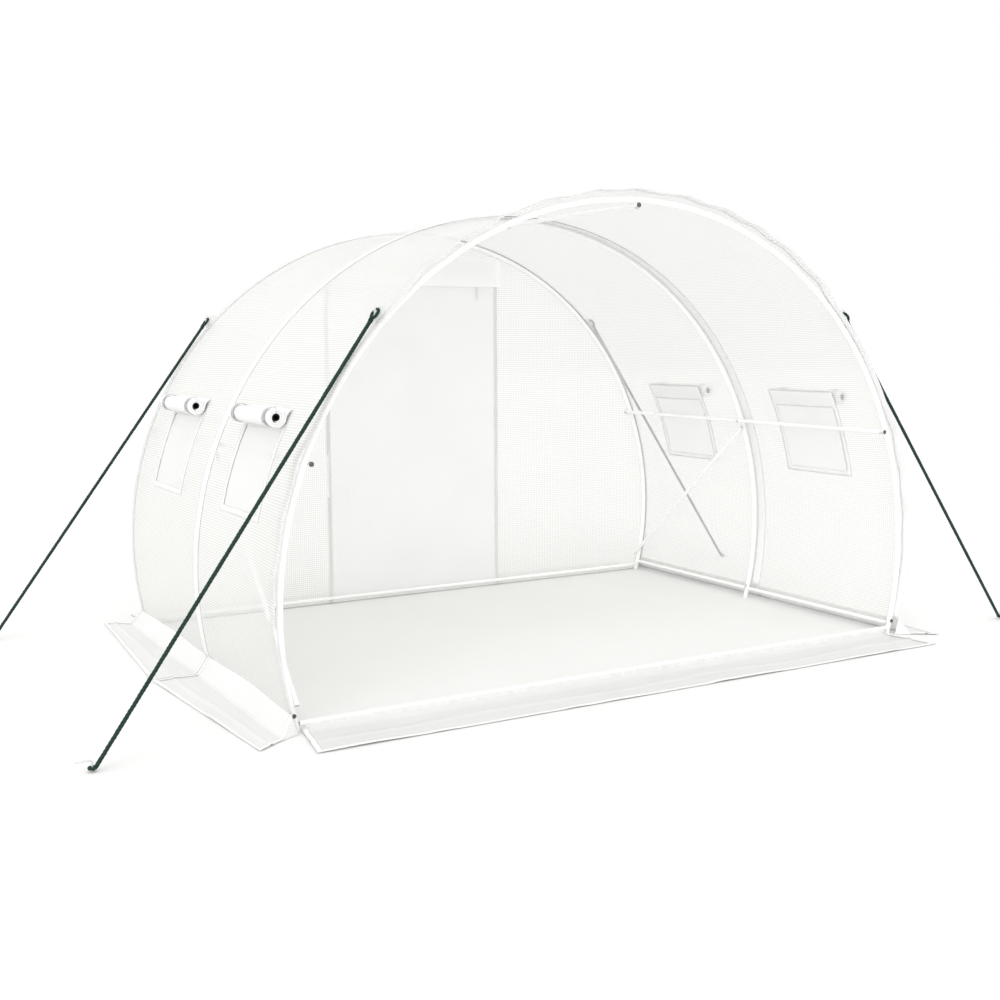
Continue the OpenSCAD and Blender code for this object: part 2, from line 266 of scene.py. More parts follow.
def cloudy(tree, scale, detail=4.0):
    """Soft noise through the space that the piece stands in."""
    place = node(tree, "TexCoord").outputs["Object"]
    return node(tree, "TexNoise", {"Vector": place, "Scale": scale, "Detail": detail}).outputs["Fac"]


def weave_finish(name, dark, light, spacing, width, through, clear, clear_thread, tint=0.84):
    """Thin woven sheet. through is its translucent share, clear the share seen straight through it between its
    threads and clear_thread on them, and tint what is left of light that passes straight through."""
    made, tree, shader = shader_nodes(name)
    grid = threads(tree, spacing, width)
    blotch = cloudy(tree, 2.6)
    tone = node(tree, "Math", {0: grid, 1: 0.45, 2: blotch}, operation="MULTIPLY_ADD").outputs[0]
    colour = ramp(tree, tone, (0.3, dark), (0.95, light))
    bump = node(tree, "Bump", {"Height": tone, "Strength": 0.25, "Distance": 0.0006}).outputs["Normal"]
    tree.links.new(colour, shader.inputs["Base Color"])
    tree.links.new(bump, shader.inputs["Normal"])
    tree.links.new(ramp(tree, blotch, (0.3, (0.40,) * 3), (0.7, (0.55,) * 3)), shader.inputs["Roughness"])
    shader.inputs["Coat Weight"].default_value = 0.8
    shader.inputs["Coat Roughness"].default_value = 0.35
    scattered = node(tree, "BsdfTranslucent", {"Color": colour, "Normal": bump}).outputs[0]
    sheet = node(tree, "MixShader", {0: through, 1: shader.outputs[0], 2: scattered}).outputs[0]
    gaps = node(tree, "MapRange", {"Value": grid, "To Min": clear, "To Max": clear_thread}).outputs[0]
    straight = node(tree, "BsdfTransparent", {"Color": (tint, tint, tint * 0.985, 1)}).outputs[0]
    seen = node(tree, "MixShader", {0: gaps, 1: sheet, 2: straight}).outputs[0]
    tree.links.new(seen, tree.nodes["Material Output"].inputs["Surface"])
    return made


film_grid = 0.011, 0.0022  # spacing and width of the threads
doubled_tones = (0.955, 0.955, 0.95), (0.985, 0.985, 0.985)
# name, darker and lighter tone, grid, through, clear, clear_thread, tint
film = weave_finish("woven_film", (0.925, 0.93, 0.915), (0.970, 0.975, 0.960), *film_grid, 0.22, 0.56, 0.38, 0.90)
seam_film = weave_finish("seam_film", *doubled_tones, *film_grid, 0.20, 0.18, 0.10, 0.92)
film_double = weave_finish("doubled_film", *doubled_tones, *film_grid, 0.10, 0.0, 0.0)
# The front and back flaps get a darker copy of the flap film than the side flaps: painted shade, standing in for the
# shade that falls on them.
shaded_flap_film = weave_finish("shaded_flap_film", (0.785, 0.79, 0.77), (0.845, 0.85, 0.835), *film_grid, 0.12, 0.0, 0.0)
side_film = weave_finish("side_flap_film", (0.89, 0.895, 0.88), (0.94, 0.945, 0.93), *film_grid, 0.10, 0.10, 0.0)
mesh_cloth = weave_finish("insect_mesh", (0.86, 0.87, 0.855), (0.94, 0.945, 0.935), 0.0024, 0.0011, 0.25, 0.50, 0.14)
print("woven finishes", [m.name for m in (film, seam_film, film_double, shaded_flap_film, side_film, mesh_cloth)])

# %% [markdown]
# ## Plain finish
# Thread, webbing, rope, plastic and metal let no light through, so one finish serves them all. Its tone is a little
# cloudy, and a fine grain changes both the bump and the gloss, because one flat colour looks like a drawing.

# %% Plain finish
def plain_finish(name, dark, light, scale, roughness, bump_scale=60.0, bump=0.15, distance=0.001, **sockets):
    """Solid finish with a cloudy change of tone and a fine bump."""
    made, tree, shader = shader_nodes(name)
    tree.links.new(ramp(tree, cloudy(tree, scale), (0.32, dark), (0.68, light)), shader.inputs["Base Color"])
    grain = cloudy(tree, bump_scale, 6.0)
    bumps = node(tree, "Bump", {"Height": grain, "Strength": bump, "Distance": distance}).outputs["Normal"]
    tree.links.new(bumps, shader.inputs["Normal"])
    gloss = ramp(tree, grain, (0.3, (roughness - 0.08,) * 3), (0.7, (roughness + 0.08,) * 3))
    tree.links.new(gloss, shader.inputs["Roughness"])
    for socket, value in sockets.items():
        shader.inputs[socket.replace("_", " ")].default_value = value
    return made


thread_white = plain_finish("white_thread", (0.90, 0.90, 0.89), (0.96, 0.96, 0.95), 90.0, 0.7)
print("plain finish", thread_white.name)

# %% [markdown]
# ## The cover
# The cover is one sheet from the skirt on one side, over the ridge, to the skirt on the other. Between hoops it dips
# a little, it stands off the hoop at the open front where its hem puckers, and it has four windows cut out.
# A cloth simulation would need pins and would change with each Blender, so we write the slack as a formula and
# keep the windows by leaving out the cells of the grid that lie in them.

# %% The cover
screen_low, screen_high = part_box("right_window_screens")
s_head, s_sill = down_to(screen_high[2]), down_to(screen_low[2])
window_w = 2 * (screen_high[1] - bay / 2)
tab_angle = math.radians(44)
tab_s = film_r * (math.pi / 2 - tab_angle)
pucker_gap = 0.21
pucker_places = [pucker_gap * k + 0.05 * ripple(k * 1.7, 0.3, 2.0) for k in range(-14, 15)]


def pucker(s):
    """1 where the front hem stands up in a fold, falling to 0 between folds."""
    return max(max(0.0, 1 - abs(s - p) / (pucker_gap / 2)) for p in pucker_places)


def film_slack(s, y):
    """How far the film stands off its even arch, outwards. The ropes hold the front hem down below their tabs."""
    share = (y + bay) / bay
    between = math.sin(math.pi * min(2.0, max(0.0, share))) ** 2
    dip = -between * (0.010 + 0.005 * ripple(s * 1.1, y * 0.9, 4.0))
    crease = (0.0016 * ripple(s * 5.0, y * 2.2, 7.0) + 0.0009 * ripple(s * 17.0, y * 6.0, 9.0)) * (0.25 + between)
    edge = smoothstep(-bay + 0.30, -bay - 0.04, y)
    held_down = smoothstep(tab_s - 0.22, tab_s - 0.06, abs(s)) * smoothstep(tab_s + 0.65, tab_s + 0.45, abs(s))
    hem = edge * (0.018 + 0.010 * pucker(s)) * smoothstep(s_foot + 0.05, s_foot - 0.4, abs(s)) * (1 - 0.9 * held_down)
    return dip + crease + hem


def on_film(s, y, lift=0.0):
    """Point on the slack film, or lift metres off it."""
    return arch(film_r - film_half + film_slack(s, y) + lift, s, y)


def in_window(s, y):
    """True in the openings of the four windows."""
    return s_head < abs(s) < s_sill and abs(abs(y) - bay / 2) < window_w / 2


window_marks = sorted(side * (bay / 2 + edge * window_w / 2) for side in (-1, 1) for edge in (-1, 1))
y_marks = [front_y, -bay, *window_marks[:2], 0, *window_marks[2:], bay, back_y]
s_marks = [-s_foot, -s_sill, -s_head, 0, s_head, s_sill, s_foot]
cover = cloth("film_cover", stations(s_marks, grid_step), stations(y_marks, grid_step),
              on_film, film, "film", in_window)
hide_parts("left_lower_cover", "right_lower_cover", "left_window_cover", "right_window_cover",
            "left_shoulder_cover", "right_shoulder_cover", "roof_cover")
print("cover", len(cover.data.polygons), "cells,", round(2 * s_foot, 2), "by", round(back_y - front_y, 2), "m")

# %% [markdown]
# ## Hem and seam bands
# Where the film is doubled it looks whiter, because less light gets through: along the open front, beside the
# middle hoop where two widths of film are joined, and along the back seam. Each band is a strip of its own a little
# off the film, most with rows of stitches, since a painted line would not change how the light passes.

# %% Hem and seam bands
band_t, stitch_l, stitch_half_w, stitch_h, stitch_lift = 0.0012, 0.006, 0.0009, 0.0012, 0.0007


def stitch_row(heap, points, lift=0.0):
    """Short raised stitches along a line of (point, outward) pairs, every second gap left open."""
    for (p, out), (q, _) in list(zip(points, points[1:]))[::2]:
        run = (q - p).normalized()
        across = run.cross(out).normalized() * stitch_half_w
        base, top = p + out * lift, out * (lift + stitch_h)
        heap.add([base - across, base + across, q + out * lift + across, q + out * lift - across,
                  p.lerp(q, 0.2) + top, p.lerp(q, 0.8) + top],
                 [(0, 1, 4), (1, 2, 5, 4), (2, 3, 5), (3, 0, 4, 5)])


def outward(s):
    """Direction straight out of the even arch."""
    angle = math.pi / 2 - s / film_r
    return Vector((math.cos(angle), 0, math.sin(angle)))


def arch_band(name, y0, y1, lift, rows, finish):
    """Strip of doubled film over the whole arch, with stitches along the given rows."""
    s_places = stations([-s_foot, 0, s_foot], grid_step)
    band = cloth(name, s_places, stations([y0, y1], 0.012), lambda s, y: on_film(s, y, lift), finish, "film")
    thicken(band, band_t)
    seam = Heap()
    for y in rows:
        for way in (-1, 1):
            row = [(on_film(s, y, lift), way * outward(s)) for s in stations([-s_foot, s_foot], stitch_l)]
            stitch_row(seam, row, stitch_lift)
    return [band, seam.piece(name + "_stitches", thread_white, "hem")] if rows else [band]


band_list = (  # name, from y, to y, height off the film, rows of stitches, finish
    ("front_hem", front_y + 0.001, -bay + 0.004, -0.0022, [front_y + 0.008, -bay - 0.004], film_double),
    ("middle_seam", -0.072, -0.010, 0.0016, [-0.068, -0.060, -0.016], film_double),
    ("middle_seam_inside", -0.072, -0.014, -0.0030, [], film_double),
    ("back_seam", back_y - 0.030, back_y - 0.001, 0.0016, [back_y - 0.024], seam_film))
bands = [piece for row in band_list for piece in arch_band(*row)]
print("bands", [piece.name for piece in bands])

# %% [markdown]
# ## Window screens and hems
# Each window is covered by insect mesh from inside and framed by a white tape. The mesh has threads about a
# millimetre thick, far too many to model, so its holes are in the material. The tape is a real frame, because its
# edge and its stitches catch the light. Inside, it is wider at the head, where the roll is sewn on.

# %% Window screens and hems
tape = weave_finish("hem_tape", (0.95, 0.955, 0.95), (0.985, 0.985, 0.985), 0.0016, 0.0009, 0.12, 0.0, 0.0)
hem_w, hem_t, head_w = 0.025, 0.0016, 0.060
outer_lift, inner_lift = 0.0012, -0.0036
mesh_seam, mesh_step, stitch_gap = 0.012, 0.02, 0.005


def on_mesh(s, y):
    """Point on a window's mesh, just inside the film and a little wavy."""
    return on_film(s, y, -0.0025 + 0.0015 * ripple(s * 6, y * 6, 5.0))


def hem_stitches(heap, low_s, high_s, low_y, high_y):
    """Stitches around a window, on its outer tape."""
    ring = [(low_s, low_y), (high_s, low_y), (high_s, high_y), (low_s, high_y), (low_s, low_y)]
    for a, b in zip(ring, ring[1:]):
        n = round(math.dist(a, b) / stitch_gap)
        row = [(a[0] + (b[0] - a[0]) * k / n, a[1] + (b[1] - a[1]) * k / n) for k in range(n + 1)]
        stitch_row(heap, [(on_film(s, y, outer_lift), outward(s)) for s, y in row], hem_t / 2)


for side, side_name in both_sides:
    seam, tapes, screens = Heap(), [], []
    for middle, bay_name in both_bays:
        edges = sorted(side * s for s in (s_head - hem_w, s_head, s_sill, s_sill + hem_w))
        ends = [middle + edge * (window_w / 2 + extra) for edge, extra in ((-1, hem_w), (-1, 0), (1, 0), (1, hem_w))]
        screen = cloth(f"{side_name}_{bay_name}_screen",
                       stations([edges[1] - mesh_seam, edges[2] + mesh_seam], mesh_step),
                       stations([ends[1] - mesh_seam, ends[2] + mesh_seam], mesh_step), on_mesh, mesh_cloth, "mesh")
        for face, lift, head in (("outer", outer_lift, 0.0), ("inner", inner_lift, head_w)):
            rows = [edges[0] - head, *edges[1:]] if side > 0 else [*edges[:3], edges[3] + head]
            hem = cloth(f"{side_name}_{bay_name}_{face}_hem", stations(rows, hem_w / 2), stations(ends, hem_w / 2),
                        lambda s, y: on_film(s, y, lift), tape, "hem", in_window)
            tapes.append(thicken(hem, hem_t))
        for inset in (0.005, 0.020):
            hem_stitches(seam, edges[0] + inset, edges[3] - inset, ends[0] + inset, ends[3] - inset)
        screens.append(screen)
    seam.piece(f"{side_name}_hem_stitches", thread_white, "hem")
    for screen in screens:
        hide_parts(f"{side_name}_window_screens")
    for hem in tapes:
        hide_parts(f"{side_name}_window_hems")
    print(side_name, "windows", round(window_w, 3), "by", round(s_sill - s_head, 3), "m along the film")

# %% [markdown]
# ## Rolled flaps
# A flap is rolled up from its lower edge and hangs from a seam above it. Its side edges are hemmed, so the ends of
# the roll show a thick white spiral while the middle is thin film. We sweep the spiral along the roll and pinch it
# where a tie holds it, because a plain cylinder would have neither the seam, the spiral nor the pinch.

# %% Rolled flaps
flap_hem_w, roll_hem_t = 0.022, 0.0055


def rolled_flap(name, r, core, turns, tail, seat, length, ties, place, seed):
    """Rolled sheet with hemmed ends. place(out, up, along) puts a local point in space."""
    tail_l = math.hypot(seat, tail)
    spiral_l = 2 * math.pi * turns * (r + core) / 2
    total = tail_l + spiral_l

    def local(run, along):
        pinch = sum(math.exp(-((along - t) / 0.028) ** 2) for t in ties)
        slack = (1 + 0.035 * ripple(run * 5, along * 7, seed) + 0.02 * ripple(run * 16, along * 15, seed + 3)
                 - 0.05 * pinch)
        if run < tail_l:
            part = run / tail_l
            bow = 0.006 * math.sin(math.pi * part) * (1 + ripple(along * 4, part, seed))
            return place(-r - seat * (1 - part) + bow, tail * (1 - part), along)
        part = (run - tail_l) / spiral_l
        angle = 2 * math.pi * turns * (part * r - part * part * (r - core) / 2) / ((r + core) / 2)
        radius = (r - (r - core) * angle / (2 * math.pi * turns)) * (1 + (slack - 1) * smoothstep(0, 0.08, part))
        return place(-radius * math.cos(angle), -radius * math.sin(angle), along)

    runs = stations([0, tail_l, total], 0.006)
    flap = cloth(name, runs, stations([-length / 2, length / 2], 0.012), local, film_double, "film")
    hems = []
    for end, end_name in both_ends:
        spans = sorted((end * length / 2, end * (length / 2 - flap_hem_w)))
        hem = cloth(f"{name}_edge_{end_name}", runs, stations(spans, 0.006), local, film_double, "film")
        hems.append(thicken(hem, roll_hem_t))
    return flap, hems, (length, total)


window_roll_l, window_roll_r, roll_gap = 0.46, 0.037, 0.0044
roll_above, window_tie = 0.032, 0.18


def window_place(side, middle):
    """Local frame of a window roll: out of the wall, up along it, and along the tunnel."""
    s_roll = side * (s_head - roll_above)
    out = outward(s_roll)
    up = Vector((-side * out.z, 0, side * out.x))
    centre = arch(film_r + roll_gap + window_roll_r, s_roll, middle)
    return lambda x, y, along: centre + out * x + up * y + Vector((0, along, 0))


for side, side_name in both_sides:
    for middle, bay_name in both_bays:
        flap, hems, cut = rolled_flap(
            f"{side_name}_{bay_name}_roll", window_roll_r, core=0.016, turns=3.2, tail=0.055, seat=0.005,
            length=window_roll_l, ties=(-window_tie, window_tie), place=window_place(side, middle),
            seed=11 + side + middle)
        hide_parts(f"{side_name}_window_rolls")
print("window flap cut", [round(c, 3) for c in cut])

# %% [markdown]
# ## Ties
# Each roll is held by two short tapes with hook and loop ends. A tape goes once around the roll and its spare end
# hangs down. It is modelled as a swept ribbon that follows the pinched roll, since a ring would look cast.

# %% Ties
webbing = plain_finish("grey_webbing", (0.44, 0.45, 0.45), (0.56, 0.57, 0.57), 60.0, 0.75, 1500.0, 0.4, 0.0005)
tie_w, tie_end_w, tie_t = 0.020, 0.019, 0.0015


def ribbon(name, path, across, width, thickness, finish, slot):
    """Flat tape along a path."""
    places = list(range(len(path)))
    tape_piece = cloth(name, places, [-width / 2, 0, width / 2], lambda k, w: path[k] + across * w, finish, slot,
                       flat=lambda k, w: (sum((path[i + 1] - path[i]).length for i in range(k)), w))
    return thicken(tape_piece, thickness)


def roll_tie(name, r, place, along, hang):
    """Tape from behind the roll, under it, around the outside, over the top, with a hanging end."""
    around, outside, hang_at = r + 0.0012, r + 0.003, math.radians(-28)
    path = [place(around * math.cos(a), around * math.sin(a), along)
            for a in (math.radians(200 + 290 * k / 40) for k in range(41))]
    drop = [place(outside * math.cos(hang_at) - 0.012 * k / 8, outside * math.sin(hang_at) - hang * k / 8, along)
            for k in range(9)]
    across = (place(0, 0, along + 1) - place(0, 0, along)).normalized()
    return [ribbon(name + "_loop", path, across, tie_w, tie_t, webbing, "webbing"),
            ribbon(name + "_end", drop, across, tie_end_w, tie_t, webbing, "webbing")]


for side, side_name in both_sides:
    for middle, bay_name in both_bays:
        for end, end_name in both_ends:
            made = roll_tie(f"{side_name}_{bay_name}_tie_{end_name}", window_roll_r * 0.975,
                            window_place(side, middle), end * window_tie, 0.016)
            for piece in made:
                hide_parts(f"{side_name}_roll_ties")
print("8 window ties")

# %% [markdown]
# ## Back wall
# The back wall is flat film cut to the arch, with a doorway. The grid has columns that keep clear of the doorway
# and rows that follow the arch, so the cut edge and the doorway are both clean lines. A band of doubled film over
# the doorway is where the rolled door is sewn on.

# %% Back wall
door_half, _, door_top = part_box("back_door_screen")[1]
wall_y = back_y + film_half
wall_low, wall_top = 0.002, arc_z + film_r - 0.002
band_side, band_up, band_in = 0.03, 0.165, 0.0075


def wall_half(z):
    """Half of the wall's width at height z."""
    return math.sqrt(max(1e-8, (film_r - 0.0015) ** 2 - (z - arc_z) ** 2))


side_cols, door_cols = 26, 28
columns = list(range(2 * side_cols + door_cols + 1))


def wall_x(column, z):
    """Where a column of the grid stands at height z. Over the doorway the columns close in with the arch."""
    level = min(z, door_top)
    wide = wall_half(level)
    if column <= side_cols:
        x = -wide + (wide - door_half) * column / side_cols
    elif column <= side_cols + door_cols:
        x = -door_half + 2 * door_half * (column - side_cols) / door_cols
    else:
        x = door_half + (wide - door_half) * (column - side_cols - door_cols) / side_cols
    return x if z <= door_top else x / wide * wall_half(z)


def on_wall(column, z):
    """Point on the wall, which is wavy except near its cut edge."""
    x = wall_x(column, z)
    rim = min(1.0, (film_r - math.hypot(x, z - arc_z)) / 0.2)
    return Vector((x, wall_y + rim * (0.004 * ripple(x * 1.6, z * 1.3, 21.0) + 0.0015 * ripple(x * 6, z * 4, 23.0)), z))


back_wall = cloth("back_wall", columns, stations([wall_low, door_top, wall_top], grid_step), on_wall, film, "film",
                  lambda column, z: side_cols < column < side_cols + door_cols and z < door_top,
                  lambda column, z: (wall_x(column, z), z))
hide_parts("back_wall_left", "back_wall_right", "back_wall_top")
head_band = cloth("door_head_band", stations([-door_half - band_side, door_half + band_side], 0.02),
                  stations([door_top - 0.002, door_top + band_up], 0.02),
                  lambda x, z: Vector((x, wall_y - band_in + 0.0008 * ripple(x * 4, z * 4, 25.0), z)),
                  film_double, "film")
print("back wall", round(2 * film_r, 2), "by", round(wall_top, 2), "m, doorway",
      round(2 * door_half, 2), "by", round(door_top, 2))

# %% [markdown]
# ## Back door
# The doorway is closed by insect mesh with a zip down each side, and the film door is rolled up above it. Zip teeth
# are small but they make the dark line that tells a zip from a plain seam, so each tooth is a small block.

# %% Back door
def on_door(x, z):
    """Point on the door's mesh, which is straight along both zips."""
    return Vector((x, wall_y + 0.0025 * ripple(x * 3, z * 2, 31.0) * math.cos(math.pi * x / (2 * door_half)), z))


door_screen = cloth("door_screen", stations([-door_half, door_half], 0.025), stations([wall_low, door_top], 0.025),
                    on_door, mesh_cloth, "mesh")
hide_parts("back_door_screen")

zip_grey = plain_finish("zip_teeth", (0.55, 0.56, 0.56), (0.68, 0.69, 0.69), 200.0, 0.4)
zip_low, zip_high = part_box("door_zips")
zip_face, zip_half, tooth_gap = zip_high[1], 0.012, 0.005
tooth = (0.006, 0.002, 0.0022)
teeth = Heap()
block = [(0, 1, 2, 3), (4, 7, 6, 5), (0, 4, 5, 1), (1, 5, 6, 2), (2, 6, 7, 3), (3, 7, 4, 0)]


def small_block(heap, centre, size):
    """Block with its outer face drawn in a little."""
    x, y, z = Vector(size) / 2
    square = ((-x, -z), (x, -z), (x, z), (-x, z))
    corners = [(i * share, depth, j * share) for depth, share in ((-y, 1), (y, 0.8)) for i, j in square]
    heap.add([Vector(centre) + Vector(corner) for corner in corners], block)


for x in (zip_low[0] + zip_half, zip_high[0] - zip_half):
    z = 0.02
    while z < door_top - 0.01:
        small_block(teeth, (x + 0.0012, zip_face + 0.001, z), tooth)
        small_block(teeth, (x - 0.0012, zip_face + 0.001, z + tooth_gap / 2), tooth)
        z += tooth_gap
    small_block(teeth, (x, zip_face + 0.004, 0.06), (0.014, 0.008, 0.020))  # slider
    small_block(teeth, (x, zip_face + 0.008, 0.035), (0.008, 0.002, 0.036))  # its pull tab
teeth.piece("zip_teeth_and_sliders", zip_grey, "zip", smooth=False)

roll_low, roll_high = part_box("door_roll")
door_roll_r = 0.062
roll_y, roll_z = roll_high[1] - door_roll_r, roll_low[2] + door_roll_r
door_roll_l = roll_high[0] - roll_low[0]


def door_place(out, up, along):
    """Local frame of the door's roll: out of the wall, up it, and across it."""
    return Vector((along, roll_y + out, roll_z + up))


tie_x = door_roll_l / 2 - 0.05
flap, hems, cut = rolled_flap("door_flap_roll", door_roll_r, core=0.021, turns=4.5, tail=0.095, seat=0.0018,
                              length=door_roll_l, ties=(-tie_x, tie_x), place=door_place, seed=41.0)
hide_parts("door_roll")
for end, end_name in both_ends:
    for piece in roll_tie(f"door_tie_{end_name}", door_roll_r * 0.97, door_place, end * tie_x, 0.11):
        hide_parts("door_roll_ties")
print("door flap cut", [round(c, 3) for c in cut])

# %% [markdown]
# ## Ground flaps
# The film runs on past the base rails as flaps that lie on the ground, where soil or stones hold them down. At the
# sides it leaves the wall in a short skirt, bends at the ground and lies flat with a few creases. We describe the
# flap by lines along it, the rail, the bend and the free edge, and join them with a grid that never goes below the
# ground. Its free edges are folded over into hems, and a small gusset closes each open end of a skirt.

# %% Ground flaps
lying, ground_hem_t = 0.0022, 0.0014


def laid_height(across, along, seed):
    """Height of film that lies on the ground, across metres from where it meets the ground."""
    wave = (0.006 * max(0.0, ripple(along * 2.4, across * 3.0, seed))
            + 0.004 * max(0.0, ripple(along * 7, across * 9, seed + 5)))
    crease = 0.006 * math.exp(-((across - 0.10 - 0.02 * ripple(along * 2, 0, seed)) / 0.010) ** 2)
    return lying + (wave + crease) * smoothstep(0.0, 0.08, across)


def ground_flap(name, rail, bend, edge, slope_l, deep, length, seed, node_name, finish, corner=None):
    """Flap between three lines, each a function of u from 0 to 1: the rail, the bend at the ground and the free
    edge. corner is the foot of the gusset at the end where u is 1."""
    total = slope_l + deep
    hem_u, hem_v = flap_hem_w / length, flap_hem_w / total
    step_u, step_v = 0.006 / length, 0.006 / total

    def spot(u, v, lift=0.0):
        gone = v * total
        if gone < slope_l:
            part = gone / slope_l
            sag = 0.004 * math.sin(math.pi * part) * (1 + ripple(u * length * 3, part, seed))
            p = rail(u).lerp(bend(u), part)
            p.z = max(lying, p.z - sag * smoothstep(0, 0.02, p.z))
        else:
            p = bend(u).lerp(edge(u), (gone - slope_l) / deep)
            p.z = laid_height(gone - slope_l, u * length, seed)
        p.z += lift
        return p

    us, vs = stations([0, 1], 0.02 / length), stations([0, slope_l / total, 1], 0.012 / total)
    flap = cloth(name, us, vs, spot, finish, "film", flat=lambda u, v: (u * length, v * total))
    for which, lift, spans in (("free", 0.0016, (us, stations([1 - hem_v, 1], step_v))),
                               ("start", 0.0032, (stations([0, hem_u], step_u), vs)),
                               ("end", 0.0032, (stations([1 - hem_u, 1], step_u), vs))):
        hem = cloth(f"{name}_{which}_hem", *spans, lambda u, v: spot(u, v, lift), film_double, "film",
                    flat=lambda u, v: (u * length, v * total))
        thicken(hem, ground_hem_t)
    if corner:
        cloth(f"{name}_gusset", stations([0, 1], 0.1), stations([0, 1], 0.1),
                          lambda u, v: corner.lerp(bend(1), u).lerp(rail(1), v), finish, "film",
                          flat=lambda u, v: (u * 0.05, v * 0.07))
    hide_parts(node_name)


def line(start, end):
    """Straight line as a function of u from 0 to 1."""
    return lambda u: Vector(start).lerp(Vector(end), u)


skirt_out, corner_in, seam_ahead, slit = 0.050, 0.080, 0.050, 0.008
for side, side_name in both_sides:
    low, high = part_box(f"{side_name}_ground_flaps")
    foot_x, free_x = min(abs(low[0]), abs(high[0])) + 0.002, max(abs(low[0]), abs(high[0]))
    bend_x = side * (foot_x + skirt_out)
    for end, end_name in ((-1, "front"), (1, "back")):
        near, far, tip = -seam_ahead + end * slit / 2, -end * front_y, end * high[1]
        turn = far + (tip - far) * skirt_out / (free_x - corner_in - foot_x)
        ground_flap(f"{side_name}_{end_name}_flap",
                    rail=lambda u: on_film(side * s_foot, near + (far - near) * u, 0.0008),
                    bend=line((bend_x, near, lying), (bend_x, turn, lying)),
                    edge=line((side * free_x, near, 0), (side * (free_x - corner_in), tip, 0)),
                    slope_l=math.hypot(skirt_out, skirt_h), deep=free_x - foot_x - skirt_out,
                    length=abs(tip - near), seed=50 + side * 3 + end, node_name=f"{side_name}_ground_flaps",
                    finish=side_film, corner=Vector((side * (foot_x - 0.02), far, lying)))
inner_x, fold = 1.486, 0.035
# The front and back flaps take the darker flap film, which is painted shade.
for end_name, node_name, rise in (("front", "front_ground_flap", 0.012), ("back", "back_ground_flap", 0.003)):
    low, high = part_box(node_name)
    near, far = (high[1], low[1]) if end_name == "front" else (low[1], high[1])
    fold_y = near + math.copysign(fold, far - near)
    fold_x = inner_x + (high[0] - inner_x) * (fold / abs(far - near))
    ground_flap(f"{end_name}_flap", rail=line((-inner_x, near, rise), (inner_x, near, rise)),
                bend=line((-fold_x, fold_y, lying), (fold_x, fold_y, lying)),
                edge=line((low[0], far, 0), (high[0], far, 0)),
                slope_l=math.hypot(fold, rise), deep=abs(far - near) - fold, length=high[0] - low[0],
                seed=60 + near, node_name=node_name, finish=shaded_flap_film)
print("6 ground flaps")

# %% [markdown]
# ## Guy ropes
# Four dark green ropes hold the corners. Each is three strands twisted together, taut from a webbing tab on the
# cover to a steel peg, with a loop at both ends. Strands are swept as spirals around the rope's line, so the twist
# is real and catches light from every side.

# %% Guy ropes
rope_green = plain_finish("green_rope", (0.002, 0.018, 0.011), (0.006, 0.036, 0.022), 160.0, 0.8, 700.0, 0.5, 0.0008)
rope_d, loop_r, eyelet_h = 0.013, 0.020, 0.030
peg_x, peg_y, knot_h = 2.240, bay + 0.060, 0.013
knot_r = 0.0038 + rope_d / 2
run_d = rope_d + 0.003  # the straight run, because twisted strands look thinner than a plain rod
whip_r, whip_cord_r = 0.0075, 0.0028


def twisted(heap, path, diameter, strands=3, lay=0.045, sides=6):
    """Strands twisted around a path."""
    strand_r = diameter * 0.33
    gone = 0.0
    spirals = [[] for _ in range(strands)]
    side = None
    for k, p in enumerate(path):
        run = (path[min(k + 1, len(path) - 1)] - path[max(k - 1, 0)]).normalized()
        side = (side - run * side.dot(run)).normalized() if side else run.orthogonal().normalized()
        other = run.cross(side)
        gone += (p - path[k - 1]).length if k else 0
        for n, spiral in enumerate(spirals):
            angle = 2 * math.pi * (gone / lay + n / strands)
            spiral.append(p + (diameter / 2 - strand_r) * (math.cos(angle) * side + math.sin(angle) * other))
    for spiral in spirals:
        heap.add(*cord_along(spiral, strand_r, sides))


def once_round(n):
    """Angles of a full turn in n steps, with both ends."""
    return [2 * math.pi * k / n for k in range(n + 1)]


ropes = Heap()
for sx in (-1, 1):
    for sy in (-1, 1):
        def spot(x, y, z):
            return Vector((sx * x, sy * y, z))

        radius = film_r + eyelet_h
        eyelet = spot(radius * math.cos(tab_angle), bay, arc_z + radius * math.sin(tab_angle))
        start = spot(peg_x - knot_r, peg_y, knot_h)
        run = (eyelet - start).normalized()
        side = run.cross(Vector((0, 0, 1))).normalized()
        tip = eyelet - run * 0.0022
        centre = tip - run * loop_r
        foot = centre - run * loop_r
        twisted(ropes, [start.lerp(foot, k / 330) for k in range(331)], run_d)
        loop = [centre + loop_r * (math.cos(a) * run + math.sin(a) * side)
                for a in (math.pi * (k / 24 - 1) for k in range(49))]
        twisted(ropes, loop, rope_d)
        for turn in range(2):
            at = foot - run * (0.004 + 0.008 * turn)
            ring = [at + whip_r * (math.cos(a) * side + math.sin(a) * run.cross(side))
                    + run * 0.009 * (a / (2 * math.pi) - 0.5) for a in once_round(20)]
            ropes.add(*cord_along(ring, whip_cord_r, 8))
        ring = [spot(peg_x + knot_r * math.cos(a), peg_y + knot_r * math.sin(a), knot_h) for a in once_round(28)]
        twisted(ropes, ring, rope_d)
rope_piece = ropes.piece("guy_rope_set", rope_green, "rope")
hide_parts("guy_ropes")
print("ropes", len(rope_piece.data.polygons), "faces")

# %% [markdown]
# ## Frame finishes
# The tubes keep their CAD shape and get a white powder coat. The pegs, the tabs, the bars in the rolls, the zips and
# the edge of the front flap keep theirs too, each with a finish of its own.

